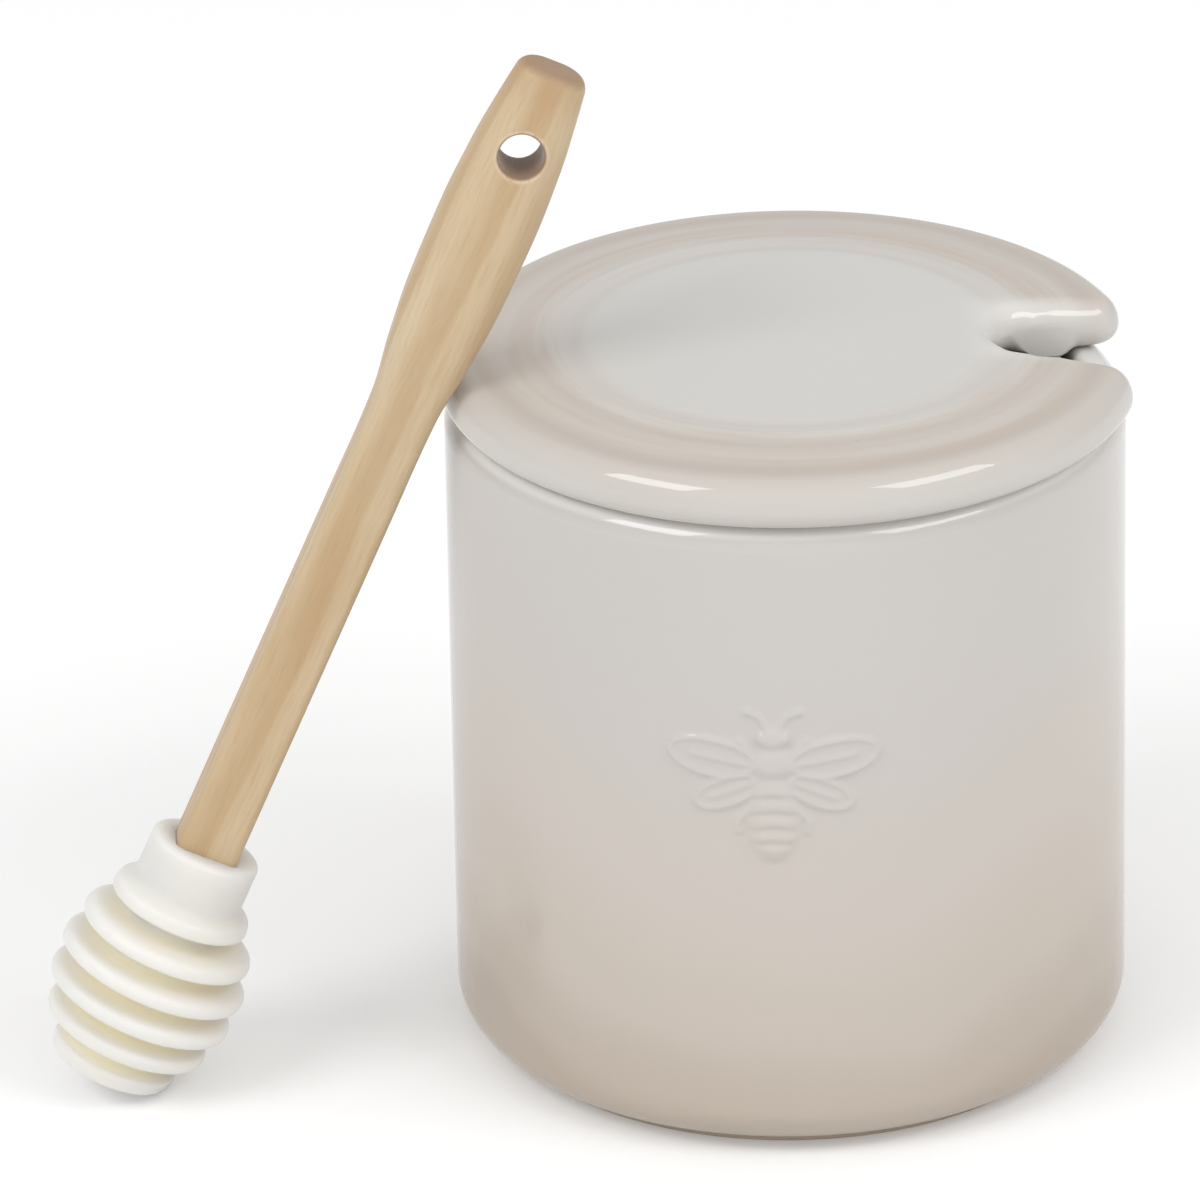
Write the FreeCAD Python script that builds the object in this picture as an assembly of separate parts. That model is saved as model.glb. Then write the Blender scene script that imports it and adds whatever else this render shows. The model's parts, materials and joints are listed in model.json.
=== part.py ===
import FreeCAD, Part
import math
import os
from FreeCAD import Placement, Rotation, Vector

# Honey pot: a round stoneware crock with a loose notched lid, and a dipper with a wooden handle and a ribbed
# silicone head, which stands beside the crock and leans against the edge of the lid.
# Millimetres, +Z up, origin on the table at the middle of the crock's foot. Seen along +Y, the dipper stands
# on the left and the lid's notch opens to the right.

# Crock
pot_radius = 50.0
pot_height = 101.6
pot_wall = 6.0
pot_floor = 6.0
rim_outer_share = 0.67  # rounding of the rim's outer edge, of the wall
rim_inner_share = 0.25  # rounding of the rim's inner edge, of the wall
heel_radius = 6.5  # rounding from the wall down to the foot
foot_inset_share = 0.93  # how far the foot stands in from the wall, of the heel's rounding
foot_height = 1.5
foot_width = 4.5
foot_recess = 1.2  # hollow inside the foot ring
foot_round_share = 0.15  # rounding of the foot's edges, of its width
cavity_round = 4.5  # inside corner between wall and floor

# Lid
lid_overhang = 1.3  # how far the lid's edge stands out past the crock
lid_shift = 0.8  # the loose lid lies this far off centre, towards its notch
lid_thickness = 8.7  # at the flat middle of its top
lid_fall = 1.4  # how far the top falls from there to its edge
lid_top_share = 0.48  # rounding of the upper edge, of the edge's thickness
lid_under_share = 0.38  # rounding of the lower edge, of the edge's thickness
lid_hollow = 1.2  # the underside is raised by this inside the flange
notch_width = 14.8  # at its round end
notch_depth = 21.3
notch_flare = 12.0  # degrees by which each side opens towards the mouth
notch_mouth_share = 1.3  # plan rounding of the notch's mouth, of the upper edge's rounding
notch_bearing = 2.5  # degrees from +X
flat_share = 0.52  # radius of the flat middle, of the lid's radius
groove_place_shares = (0.63, 0.725, 0.85)  # rings in the top, of the lid's radius
groove_width_shares = (0.028, 0.095, 0.115)  # of the same radius
groove_depth_shares = (0.04, 0.05, 0.05)  # of the lid's thickness

# Locating flange under the lid, loose inside the crock's mouth
flange_gap = 3.4
flange_depth = 5.5
flange_width = 4.0
flange_taper = 0.6
flange_root_round = 2.4
flange_edge_share = 0.3  # rounding of its lower edges, of its width
flange_setback_share = 0.35  # its ends behind the notch's sides, of the lid's lower rounding

# Dipper head, measured along its axis from the tip
fin_radius = 14.3
fin_shares = (0.652, 0.868, 0.985, 1.0, 0.916, 0.733)  # radii of the fins from the tip up
fin_pitch = 5.4
fin_thickness = 2.7
fin_depth = 4.6  # of the grooves, from the smaller of the fins beside them
cap_dome = 0.9  # how far the tip bulges below the lowest fin
neck_length = 9.8  # middle of the top fin up to the collar's end
flare_share = 0.5  # part of the neck that flares out to the top fin
flare_start = 40.0  # degrees up the top fin's round rim, where the flare runs into it
core_wall = 0.9  # least silicone left round the socket between the fins
collar_wall = 2.5  # the same at the collar's corners
collar_round_share = 0.36  # rounding of the collar's edge, of its wall
socket_depth = 18.0
socket_clearance = 0.12
socket_end_gap = 0.2

# Dipper handle, a stick that swells and flattens towards its hanging hole
handle_length = 130.8  # from the collar up
shaft_width = 9.4
shaft_thickness = 8.4
grip_width = 14.6
grip_thickness = 10.4
station_shares = (0.44, 0.5, 0.57, 0.64, 0.72, 0.81, 0.89, 0.95, 1.0)  # sections of the grip, of the length
swell_shares = (0.0, 0.0, 0.1, 0.57, 0.92, 1.0, 0.83, 0.5, 0.15)  # from shaft to grip at each section
shaft_corner_share = 0.16  # corner rounding, of the thickness
grip_corner_shares = (shaft_corner_share, 0.2, 0.3, 0.38, 0.42, 0.44, 0.46, 0.46, 0.46)
end_round_share = 0.13  # rounding of the top end, of the grip's thickness
hole_radius = 3.3
hole_from_end = 13.0
hole_chamfer = 0.7

# How the dipper stands
lean_angle = 24.6  # degrees from upright
lean_bearing = 11.2  # degrees from +X, the way its top leans
roll_angle = -8.6  # degrees, how the flat of the handle is turned about its axis
lean_offset = -3.9  # how far its axis passes beside the crock's axis
lean_gap = 0.3  # left between the handle and the lid's edge

overrun = 2.0  # how far a cutting solid reaches past the faces it cuts
tolerance = 0.001
quarter_share = 1 - math.sqrt(0.5)  # how far into its box the middle of a quarter round lies


def section(r, z):
    """Point of a half section in the XZ plane."""
    return Vector(r, 0, z)


def plan(x, y):
    """Point of an outline in the XY plane."""
    return Vector(x, y, 0)


def bend(place, across, up, radius, first, last):
    """Arc round a centre, from one angle in degrees to another, as its middle and end points."""
    points = []
    for angle in ((first + last) / 2, last):
        turn = math.radians(angle)
        points.append(place(across + radius * math.cos(turn), up + radius * math.sin(turn)))
    return tuple(points)


def closed_wire(path):
    """Closed wire from a list of points, each reached by a line, and bends, each reached by its arc."""
    edges = []
    here = path[0]
    for step in path[1:] + path[:1]:
        goal = step[-1] if isinstance(step, tuple) else step
        if goal.distanceToPoint(here) < tolerance:
            continue
        if isinstance(step, tuple):
            edges.append(Part.Arc(here, step[0], goal).toShape())
        else:
            edges.append(Part.LineSegment(here, goal).toShape())
        here = goal
    return Part.Wire(edges)


def turned(wire):
    """Solid of revolution of a half section about the Z axis."""
    return Part.Face(wire).revolve(Vector(0, 0, 0), Vector(0, 0, 1), 360)


def edges_between(shape, low, high):
    """Edges of a shape that lie between two heights."""
    return [edge for edge in shape.Edges if edge.BoundBox.ZMin > low and edge.BoundBox.ZMax < high]


cavity_radius = pot_radius - pot_wall
floor_height = foot_recess + pot_floor
foot_radius = pot_radius - heel_radius * foot_inset_share


def make_pot():
    """Crock: foot ring, rounded heel, straight wall, rounded rim with a flat land, and the cavity."""
    rim_outer = pot_wall * rim_outer_share
    rim_inner = pot_wall * rim_inner_share
    foot_inner = foot_radius - foot_width
    foot_round = foot_width * foot_round_share
    heel_turn = math.degrees(math.acos(1 - foot_inset_share))
    heel_top = foot_height + heel_radius * math.sin(math.radians(heel_turn))
    return turned(closed_wire([
        section(0, foot_recess),
        section(foot_inner, foot_recess),
        section(foot_inner, foot_round),
        bend(section, foot_inner + foot_round, foot_round, foot_round, 180, 270),
        section(foot_radius - foot_round, 0),
        bend(section, foot_radius - foot_round, foot_round, foot_round, -90, 0),
        section(foot_radius, foot_height),
        bend(section, pot_radius - heel_radius, heel_top, heel_radius, -heel_turn, 0),
        section(pot_radius, pot_height - rim_outer),
        bend(section, pot_radius - rim_outer, pot_height - rim_outer, rim_outer, 0, 90),
        section(cavity_radius + rim_inner, pot_height),
        bend(section, cavity_radius + rim_inner, pot_height - rim_inner, rim_inner, 90, 180),
        section(cavity_radius, floor_height + cavity_round),
        bend(section, cavity_radius - cavity_round, floor_height + cavity_round, cavity_round, 0, -90),
        section(0, floor_height),
    ]))


lid_radius = pot_radius + lid_overhang
lid_edge = lid_thickness - lid_fall
lid_top_round = lid_edge * lid_top_share
lid_under_round = lid_edge * lid_under_share
notch_end = lid_radius - notch_depth + notch_width / 2  # middle of the notch's round end


def notch_reach(x, beyond):
    """Half width of the notch's straight part, this far from the lid's axis, with a margin beyond it."""
    flare = math.radians(notch_flare)
    return (notch_width / 2 + beyond) / math.cos(flare) + (x - notch_end) * math.tan(flare)


def lid_outline():
    """Plan of the lid: a disc with a flared notch along +X, round at its end and rounded into the disc."""
    half = notch_width / 2
    mouth = lid_top_round * notch_mouth_share
    slope = math.tan(math.radians(notch_flare))
    foot_y = notch_reach(0, mouth)
    reach = (lid_radius - mouth) ** 2 * (1 + slope ** 2) - foot_y ** 2
    mouth_x = (math.sqrt(reach) - slope * foot_y) / (1 + slope ** 2)
    mouth_y = notch_reach(mouth_x, mouth)
    mouth_turn = math.degrees(math.atan2(mouth_y, mouth_x))
    flare = math.radians(notch_flare)
    return closed_wire([
        plan(notch_end - half * math.sin(flare), half * math.cos(flare)),
        plan(mouth_x + mouth * math.sin(flare), mouth_y - mouth * math.cos(flare)),
        bend(plan, mouth_x, mouth_y, mouth, notch_flare - 90, mouth_turn),
        bend(plan, 0, 0, lid_radius, mouth_turn, 360 - mouth_turn),
        bend(plan, mouth_x, -mouth_y, mouth, -mouth_turn, 90 - notch_flare),
        plan(notch_end - half * math.sin(flare), -half * math.cos(flare)),
        bend(plan, notch_end, 0, half, 270 - notch_flare, 90 + notch_flare),
    ])


def top_height(radius):
    """Height of the lid's top above its seat: flat in the middle, then a gentle fall to the edge."""
    flat_radius = lid_radius * flat_share
    fall = lid_fall * max(0, radius - flat_radius) / (lid_radius - flat_radius)
    return lid_thickness - fall


def make_blank():
    """Disc under the lid's top, wider than the lid, to trim its outline to height."""
    flat_radius = lid_radius * flat_share
    return turned(closed_wire([
        section(0, 0),
        section(lid_radius + overrun, 0),
        section(lid_radius + overrun, top_height(lid_radius + overrun)),
        section(flat_radius, lid_thickness),
        section(0, lid_thickness),
    ]))


def make_groove(place_share, width_share, depth_share):
    """Ring with a shallow round bottom, to be cut from the lid's top."""
    middle = lid_radius * place_share
    inner = middle - lid_radius * width_share / 2
    outer = middle + lid_radius * width_share / 2
    bottom = top_height(middle) - lid_thickness * depth_share
    return turned(closed_wire([
        section(inner, lid_thickness + overrun),
        section(inner, top_height(inner)),
        (section(middle, bottom), section(outer, top_height(outer))),
        section(outer, lid_thickness + overrun),
    ]))


def make_flange():
    """Tapered ring under the lid, with a round root, cut away where the notch passes."""
    outer = cavity_radius - flange_gap
    inner = outer - flange_width
    root = outer + flange_taper
    edge = flange_width * flange_edge_share
    ring = turned(closed_wire([
        section(inner, lid_hollow),
        section(root + flange_root_round, lid_hollow),
        section(root + flange_root_round, 0),
        bend(section, root + flange_root_round, -flange_root_round, flange_root_round, 90, 180),
        section(outer, edge - flange_depth),
        bend(section, outer - edge, edge - flange_depth, edge, 0, -90),
        section(inner + edge, -flange_depth),
        bend(section, inner + edge, edge - flange_depth, edge, 270, 180),
    ]))
    setback = lid_under_round * flange_setback_share
    near, far = notch_end - notch_width / 2, lid_radius
    passage = closed_wire([
        plan(near, -notch_reach(near, setback)),
        plan(far, -notch_reach(far, setback)),
        plan(far, notch_reach(far, setback)),
        plan(near, notch_reach(near, setback)),
    ])
    passage.translate(Vector(0, 0, -flange_depth - overrun))
    return ring.cut(Part.Face(passage).extrude(Vector(0, 0, flange_depth + lid_hollow + 2 * overrun)))


def make_lid():
    """Lid on its seat: rounded notched plate with a ringed top, hollow below inside its flange."""
    outline = Part.Face(lid_outline()).extrude(Vector(0, 0, lid_thickness))
    lid = outline.common(make_blank())
    lid = lid.makeFillet(lid_top_round, edges_between(lid, lid_edge / 2, lid_thickness - tolerance))
    lid = lid.makeFillet(lid_under_round, edges_between(lid, -tolerance, tolerance))
    for shares in zip(groove_place_shares, groove_width_shares, groove_depth_shares):
        lid = lid.cut(make_groove(*shares))
    hollow_radius = cavity_radius - flange_gap - flange_width
    lid = lid.cut(Part.makeCylinder(hollow_radius, overrun + lid_hollow, Vector(0, 0, -overrun)))
    lid = lid.fuse(make_flange())
    lid.translate(Vector(lid_shift, 0, 0))
    lid.rotate(Vector(0, 0, 0), Vector(0, 0, 1), notch_bearing)
    lid.translate(Vector(0, 0, pot_height))
    return lid.removeSplitter()


shaft_corner = shaft_thickness * shaft_corner_share
socket_reach = shaft_corner + socket_clearance + math.hypot(
    shaft_width / 2 - shaft_corner, shaft_thickness / 2 - shaft_corner)
cap_height = cap_dome + fin_thickness / 2
collar_height = cap_height + fin_pitch * (len(fin_shares) - 1) + neck_length


def rounded_oblong(width, thickness, corner, height):
    """Rectangle with round corners in a level plane, its width along X."""
    x = width / 2 - corner
    y = thickness / 2 - corner
    wire = closed_wire([
        plan(-x, -y - corner),
        plan(x, -y - corner),
        bend(plan, x, -y, corner, -90, 0),
        plan(x + corner, y),
        bend(plan, x, y, corner, 0, 90),
        plan(-x, y + corner),
        bend(plan, -x, y, corner, 90, 180),
        plan(-x - corner, -y),
        bend(plan, -x, -y, corner, 180, 270),
    ])
    wire.translate(Vector(0, 0, height))
    return wire


def make_head():
    """Silicone head on its own axis: shallow dome, fins with round rims and round grooves, collar, socket."""
    half_fin = fin_thickness / 2
    groove = (fin_pitch - fin_thickness) / 2
    rims = [fin_radius * share - half_fin for share in fin_shares]
    dome_radius = (rims[0] ** 2 + cap_dome ** 2) / (2 * cap_dome)
    dome_turn = math.degrees(math.asin(rims[0] / dome_radius))
    path = [section(0, 0), bend(section, 0, dome_radius, dome_radius, -90, dome_turn - 90)]
    height = cap_height
    path.append(bend(section, rims[0], height, half_fin, -90, 90))
    for below, rim in zip(rims, rims[1:]):
        core = max(socket_reach + core_wall, min(below, rim) + half_fin - fin_depth)
        path.append(section(core + groove, height + half_fin))
        groove_middle = section(core, height + fin_pitch / 2)
        path.append((groove_middle, section(core + groove, height + fin_pitch - half_fin)))
        height += fin_pitch
        path.append(section(rim, height - half_fin))
        path.append(bend(section, rim, height, half_fin, -90, 90))
    collar = socket_reach + collar_wall
    collar_round = collar_wall * collar_round_share
    path[-1] = bend(section, rims[-1], height, half_fin, -90, flare_start)
    flare_foot = path[-1][-1]
    flare_top = section(collar, height + half_fin + neck_length * flare_share)
    flare_middle = section(
        collar + (flare_foot.x - collar) * quarter_share,
        flare_foot.z + (flare_top.z - flare_foot.z) * quarter_share)
    path.append((flare_middle, flare_top))
    path.append(section(collar, collar_height - collar_round))
    path.append(bend(section, collar - collar_round, collar_height - collar_round, collar_round, 0, 90))
    path.append(section(0, collar_height))
    socket = rounded_oblong(
        shaft_width + 2 * socket_clearance, shaft_thickness + 2 * socket_clearance,
        shaft_corner + socket_clearance, collar_height - socket_depth)
    bore = Part.Face(socket).extrude(Vector(0, 0, socket_depth + overrun))
    return turned(closed_wire(path)).cut(bore)


def make_handle():
    """Wooden handle on the head's axis: tenon, slim shaft, flattened grip with a rounded end and a hole."""
    sections = []
    for station, swell, corner_share in zip(station_shares, swell_shares, grip_corner_shares):
        width = shaft_width + (grip_width - shaft_width) * swell
        thickness = shaft_thickness + (grip_thickness - shaft_thickness) * swell
        height = collar_height + handle_length * station
        sections.append(rounded_oblong(width, thickness, thickness * corner_share, height))
    handle = Part.makeLoft(sections, True, False)
    top = collar_height + handle_length
    end_edges = edges_between(handle, top - tolerance, top + tolerance)
    handle = handle.makeFillet(grip_thickness * end_round_share, end_edges)
    shaft_length = handle_length * station_shares[0] + socket_depth - socket_end_gap
    handle = handle.fuse(Part.Face(sections[0]).extrude(Vector(0, 0, -shaft_length)))
    hole_height = top - hole_from_end
    face = grip_thickness / 2
    for side in (1, -1):
        inward = Vector(0, -side, 0)
        mouth = Vector(0, side * (face + overrun), hole_height)
        wide = hole_radius + hole_chamfer + overrun
        handle = handle.cut(Part.makeCone(wide, hole_radius, hole_chamfer + overrun, mouth, inward))
        handle = handle.cut(Part.makeCylinder(hole_radius, face + overrun, mouth, inward))
    return handle.removeSplitter()


def lean_against(lid, handle):
    """Placement that stands the lowest fin on the table, with the handle close to the lid's edge."""
    lean = math.radians(lean_angle)
    half_fin = fin_thickness / 2
    cap_rise = half_fin + (fin_radius * fin_shares[0] - half_fin) * math.sin(lean)
    turn = Rotation(Vector(0, 0, 1), lean_bearing)
    way = turn.multVec(Vector(1, 0, 0))
    beside = turn.multVec(Vector(0, lean_offset, 0))
    turn = turn * Rotation(Vector(0, 1, 0), lean_angle) * Rotation(Vector(0, 0, 1), roll_angle)
    cap_offset = turn.multVec(Vector(0, 0, cap_height))
    reach = lid_radius + (pot_height + lid_thickness) * math.tan(lean) + grip_width
    gap = reach
    while gap - lean_gap > tolerance:
        spot = Placement(beside + Vector(0, 0, cap_rise) - way * reach - cap_offset, turn)
        leaning = handle.copy()
        leaning.Placement = spot * leaning.Placement
        gap = leaning.distToShape(lid)[0]
        reach -= gap - lean_gap
    return spot


pot = make_pot()
lid = make_lid()
dipper_head = make_head()
dipper_handle = make_handle()
standing = lean_against(lid, dipper_handle)
for piece in (dipper_head, dipper_handle):
    piece.Placement = standing * piece.Placement

os.makedirs("parts", exist_ok=True)
pot.exportStep("parts/pot.step")
lid.exportStep("parts/lid.step")
dipper_head.exportStep("parts/dipper_head.step")
dipper_handle.exportStep("parts/dipper_handle.step")
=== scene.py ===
import json
import math

import bmesh
import bpy
import numpy as np
from mathutils import Matrix, Vector
from mathutils.geometry import delaunay_2d_cdt


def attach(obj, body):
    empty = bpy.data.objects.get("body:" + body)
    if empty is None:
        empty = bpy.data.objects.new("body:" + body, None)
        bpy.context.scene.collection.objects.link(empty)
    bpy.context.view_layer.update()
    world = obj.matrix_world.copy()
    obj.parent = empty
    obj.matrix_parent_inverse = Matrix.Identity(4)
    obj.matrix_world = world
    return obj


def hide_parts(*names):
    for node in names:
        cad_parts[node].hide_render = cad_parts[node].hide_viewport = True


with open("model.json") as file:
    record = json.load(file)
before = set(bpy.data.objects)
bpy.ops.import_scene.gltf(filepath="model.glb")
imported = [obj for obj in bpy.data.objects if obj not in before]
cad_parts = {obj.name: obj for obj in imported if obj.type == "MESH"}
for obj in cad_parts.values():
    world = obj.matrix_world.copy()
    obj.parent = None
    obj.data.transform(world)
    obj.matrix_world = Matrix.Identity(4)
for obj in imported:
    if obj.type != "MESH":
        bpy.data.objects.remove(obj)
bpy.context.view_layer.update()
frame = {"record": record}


# Crock: the round stoneware body that holds the honey. It is turned in one piece with its foot ring, rounded
# heel and rim, has a small bee in low relief on its front, and is glazed all over but for the foot it is
# fired on. The glaze breaks from off-white at the rim to a warm beige at the heel.
mm = 0.001
pot_radius = 50.0
pot_height = 101.6
pot_wall = 6.0
pot_floor = 6.0
rim_outer = 4.02
rim_inner = 1.5
heel_radius = 6.5
foot_inset = 6.045
foot_height = 1.5
foot_width = 4.5
foot_recess = 1.2
foot_round = 0.675
recess_round = 0.6
cavity_round = 4.5
bee_turn = math.radians(-92.6)
bee_height = 61.5
bee_half_width = 17.5
bee_half_height = 15.0
bee_step = 0.26
back_columns = 171
glaze_ior = 1.52


def quarter(centre_r, centre_z, radius, first, last, count):
    """Points of an arc in the half section, from one angle in degrees to another."""
    turns = np.radians(np.linspace(first, last, count + 1))
    return [(centre_r + radius * math.cos(t), centre_z + radius * math.sin(t)) for t in turns]


def crock_section():
    """Half section of the crock, from the middle of its underside to the middle of its floor."""
    foot_radius = pot_radius - foot_inset
    foot_inner = foot_radius - foot_width
    cavity = pot_radius - pot_wall
    floor = foot_recess + pot_floor
    heel_turn = math.degrees(math.acos(1 - foot_inset / heel_radius))
    heel_top = foot_height + heel_radius * math.sin(math.radians(heel_turn))
    low, high = bee_height - bee_half_height, bee_height + bee_half_height
    points = [(r, foot_recess) for r in (0.0, 12.0, 24.0, 34.0, 38.4)]
    points += quarter(foot_inner - recess_round, foot_recess - recess_round, recess_round, 90, 0, 4)
    points += quarter(foot_inner + foot_round, foot_round, foot_round, 180, 270, 6)
    points += quarter(foot_radius - foot_round, foot_round, foot_round, -90, 0, 6)
    points += [(foot_radius, foot_height - 0.25)]
    points += quarter(pot_radius - heel_radius, heel_top, heel_radius, -heel_turn, 0, 18)
    points += [(pot_radius, z) for z in np.linspace(heel_top, low, 12)[1:]]
    points += [(pot_radius, z) for z in np.arange(low + bee_step, high, bee_step)]
    points += [(pot_radius, z) for z in np.linspace(high, pot_height - rim_outer, 8)[:-1]]
    points += quarter(pot_radius - rim_outer, pot_height - rim_outer, rim_outer, 0, 90, 14)
    points += quarter(cavity + rim_inner, pot_height - rim_inner, rim_inner, 90, 180, 10)
    points += [(cavity, z) for z in np.linspace(pot_height - rim_inner, floor + cavity_round, 14)[1:-1]]
    points += quarter(cavity - cavity_round, floor + cavity_round, cavity_round, 0, -90, 14)
    points += [(r, floor) for r in (24.0, 12.0, 0.0)]
    return np.array(points)


def oval(x, y, middle_x, middle_y, reach_x, reach_y, tilt=0.0):
    """Depth of each point inside an ellipse along the ray from its middle, negative outside."""
    turn = math.radians(tilt)
    dx, dy = x - middle_x, y - middle_y
    u = dx * math.cos(turn) + dy * math.sin(turn)
    v = dy * math.cos(turn) - dx * math.sin(turn)
    share = np.sqrt((u / reach_x) ** 2 + (v / reach_y) ** 2) + 1e-6
    return np.sqrt(u * u + v * v + 1e-9) * (1 / share - 1)


def limb(x, y, ax, ay, bx, by):
    """Distance of each point from a straight limb."""
    along = ((x - ax) * (bx - ax) + (y - ay) * (by - ay)) / ((bx - ax) ** 2 + (by - ay) ** 2)
    along = np.clip(along, 0, 1)
    return np.hypot(x - ax - along * (bx - ax), y - ay - along * (by - ay))


def ease(value, low, high):
    """Soft step from 0 at low to 1 at high."""
    share = np.clip((value - low) / (high - low), 0, 1)
    return share * share * (3 - 2 * share)


def bee_relief(x, y):
    """Height of the bee over the wall: wings as thin raised loops, body as soft domes with banded abdomen."""
    x = np.abs(x)

    def wing(root_x, root_y, length, half, tilt, rim, field):
        turn = math.radians(tilt)
        middle_x = root_x + length / 2 * math.cos(turn)
        middle_y = root_y + length / 2 * math.sin(turn)
        depth = oval(x, y, middle_x, middle_y, length / 2, half, tilt)
        loop = 1 - ease(np.abs(depth - 0.5), 0.15, 0.75)
        vein_x = middle_x + length * 0.22 * math.cos(turn)
        vein_y = middle_y + length * 0.22 * math.sin(turn)
        vein = 1 - ease(limb(x, y, root_x, root_y, vein_x, vein_y), 0.1, 0.55)
        sheet = field * ease(depth, -0.1, 0.6)
        return np.maximum(sheet + (rim - field) * vein * ease(depth, 0, 0.6) * 0.8, rim * loop)

    wings = [wing(2.0, 0.6, 10.6, 2.5, -24, 0.55, 0.24), wing(2.2, 2.8, 13.6, 3.2, 9, 0.62, 0.26)]
    legs = [0.42 * (1 - ease(limb(x, y, *ends), 0.15, 0.7)) for ends in (
        (2.4, 4.6, 4.9, 6.9), (4.9, 6.9, 5.7, 6.1), (2.9, -3.2, 5.2, -6.2), (5.2, -6.2, 5.0, -7.8))]
    feelers = [0.4 * (1 - ease(limb(x, y, *ends), 0.1, 0.6)) for ends in (
        (0.7, 8.4, 2.0, 10.6), (2.0, 10.6, 3.6, 11.3))]
    feeler_knob = 0.5 * ease(oval(x, y, 3.7, 11.35, 0.75, 0.65), -0.2, 0.5)
    abdomen_depth = oval(x, y, 0, -5.6, 3.9, 7.0)
    abdomen = 0.95 * np.sqrt(ease(abdomen_depth, -0.2, 2.4))
    for band in (-2.2, -4.7, -7.2, -9.5):
        line = 1 - ease(np.abs(y - band + 0.05 * x * x), 0.2, 0.75)
        abdomen -= 0.34 * line * ease(abdomen_depth, 0.1, 0.9)
    thorax = 0.95 * np.sqrt(ease(oval(x, y, 0, 3.0, 3.3, 2.7), -0.2, 2.0))
    face = 0.8 * np.sqrt(ease(oval(x, y, 0, 7.1, 2.4, 1.9), -0.2, 1.5))
    eye = 0.92 * ease(oval(x, y, 1.75, 7.3, 0.75, 1.1), -0.1, 0.6)
    return np.maximum.reduce(wings + legs + feelers + [feeler_knob, abdomen, thorax, face, eye])


def settle(shell, mesh):
    """Writes a shell to a mesh, its faces smooth and turned outwards."""
    bmesh.ops.recalc_face_normals(shell, faces=shell.faces)
    for face in shell.faces:
        face.smooth = True
    shell.to_mesh(mesh)
    shell.free()


def solid_piece(name, points, faces):
    """Closed smooth mesh object from points in millimetres."""
    mesh = bpy.data.meshes.new(name)
    mesh.from_pydata((np.asarray(points) * mm).tolist(), [], faces)
    shell = bmesh.new()
    shell.from_mesh(mesh)
    bmesh.ops.remove_doubles(shell, verts=shell.verts, dist=0.002 * mm)
    settle(shell, mesh)
    piece = bpy.data.objects.new(name, mesh)
    bpy.context.collection.objects.link(piece)
    return piece


def turned_faces(rows, columns):
    """Faces of a grid that closes round its columns."""
    faces = []
    for row in range(rows - 1):
        low, high = row * columns, (row + 1) * columns
        for column in range(columns):
            ahead = (column + 1) % columns
            faces.append((low + column, low + ahead, high + ahead, high + column))
    return faces


def make_crock():
    """Crock turned from its section, with the bee raised on the wall."""
    profile = crock_section()
    half = bee_half_width / pot_radius
    front = np.arange(-half, half, bee_step / pot_radius) + bee_turn
    rest = np.linspace(half + bee_turn, 2 * math.pi - half + bee_turn, back_columns + 1)[:-1]
    turns = np.concatenate([front, rest])
    radii = np.repeat(profile[:, :1], len(turns), axis=1)
    heights = np.repeat(profile[:, 1:], len(turns), axis=1)
    across = (np.remainder(turns - bee_turn + math.pi, 2 * math.pi) - math.pi) * pot_radius
    on_wall = np.abs(profile[:, 0] - pot_radius) < 1e-6
    near_bee = on_wall[:, None] & (np.abs(across) < bee_half_width - 1.5)[None, :]
    relief = near_bee * bee_relief(across[None, :] + 0 * radii, heights - bee_height)
    for _ in range(2):
        relief[1:-1] = (relief[:-2] + 2 * relief[1:-1] + relief[2:]) / 4
        relief[:, 1:-1] = (relief[:, :-2] + 2 * relief[:, 1:-1] + relief[:, 2:]) / 4
    radii = radii + np.where(on_wall[:, None], relief, 0.0)
    points = np.stack([radii * np.cos(turns), radii * np.sin(turns), heights], axis=-1).reshape(-1, 3)
    return solid_piece("crock", points, turned_faces(len(profile), len(turns)))


def add(tree, kind, inputs=None, **settings):
    """Adds a node with its settings and socket values; a socket given an output is linked to it."""
    made = tree.nodes.new(kind)
    for name, value in settings.items():
        setattr(made, name, value)
    for name, value in (inputs or {}).items():
        if isinstance(value, bpy.types.NodeSocket):
            tree.links.new(value, made.inputs[name])
        else:
            made.inputs[name].default_value = value
    return made


def calc(tree, operation, first, second=0.0, third=0.0):
    """Output of a math node."""
    return add(tree, "ShaderNodeMath", {0: first, 1: second, 2: third}, operation=operation).outputs[0]


def times(tree, first, second):
    """Product of two values."""
    return calc(tree, "MULTIPLY", first, second)


def spread(tree, value, low, high, to_low=0.0, to_high=1.0, soft=False):
    """Output of a map range node, clamped."""
    return add(tree, "ShaderNodeMapRange", {
        "Value": value, "From Min": low, "From Max": high, "To Min": to_low, "To Max": to_high,
    }, interpolation_type="SMOOTHSTEP" if soft else "LINEAR").outputs[0]


def noise(tree, place, scale, detail, roughness=0.5):
    """Output of a noise node."""
    return add(tree, "ShaderNodeTexNoise", {
        "Vector": place, "Scale": scale, "Detail": detail, "Roughness": roughness}).outputs["Fac"]


def object_place(tree):
    """Place of each point in the piece's own frame."""
    return add(tree, "ShaderNodeTexCoord").outputs["Object"]


def parts_of(tree, vector):
    """Outputs X, Y and Z of a vector."""
    return add(tree, "ShaderNodeSeparateXYZ", {"Vector": vector}).outputs


def paint(red, green, blue):
    """Linear colour of an sRGB colour given from 0 to 255."""
    return tuple(
        c / 12.92 if c <= 0.04045 else ((c + 0.055) / 1.055) ** 2.4
        for c in (red / 255, green / 255, blue / 255)) + (1.0,)


def colours(tree, value, stops):
    """Colour ramp of (place, colour) stops."""
    made = add(tree, "ShaderNodeValToRGB", {"Fac": value})
    made.color_ramp.interpolation = "EASE"
    elements = made.color_ramp.elements
    elements[0].position, elements[0].color = stops[0]
    elements[1].position, elements[1].color = stops[-1]
    for place, colour in stops[1:-1]:
        elements.new(place).color = colour
    return made.outputs["Color"]


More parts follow.
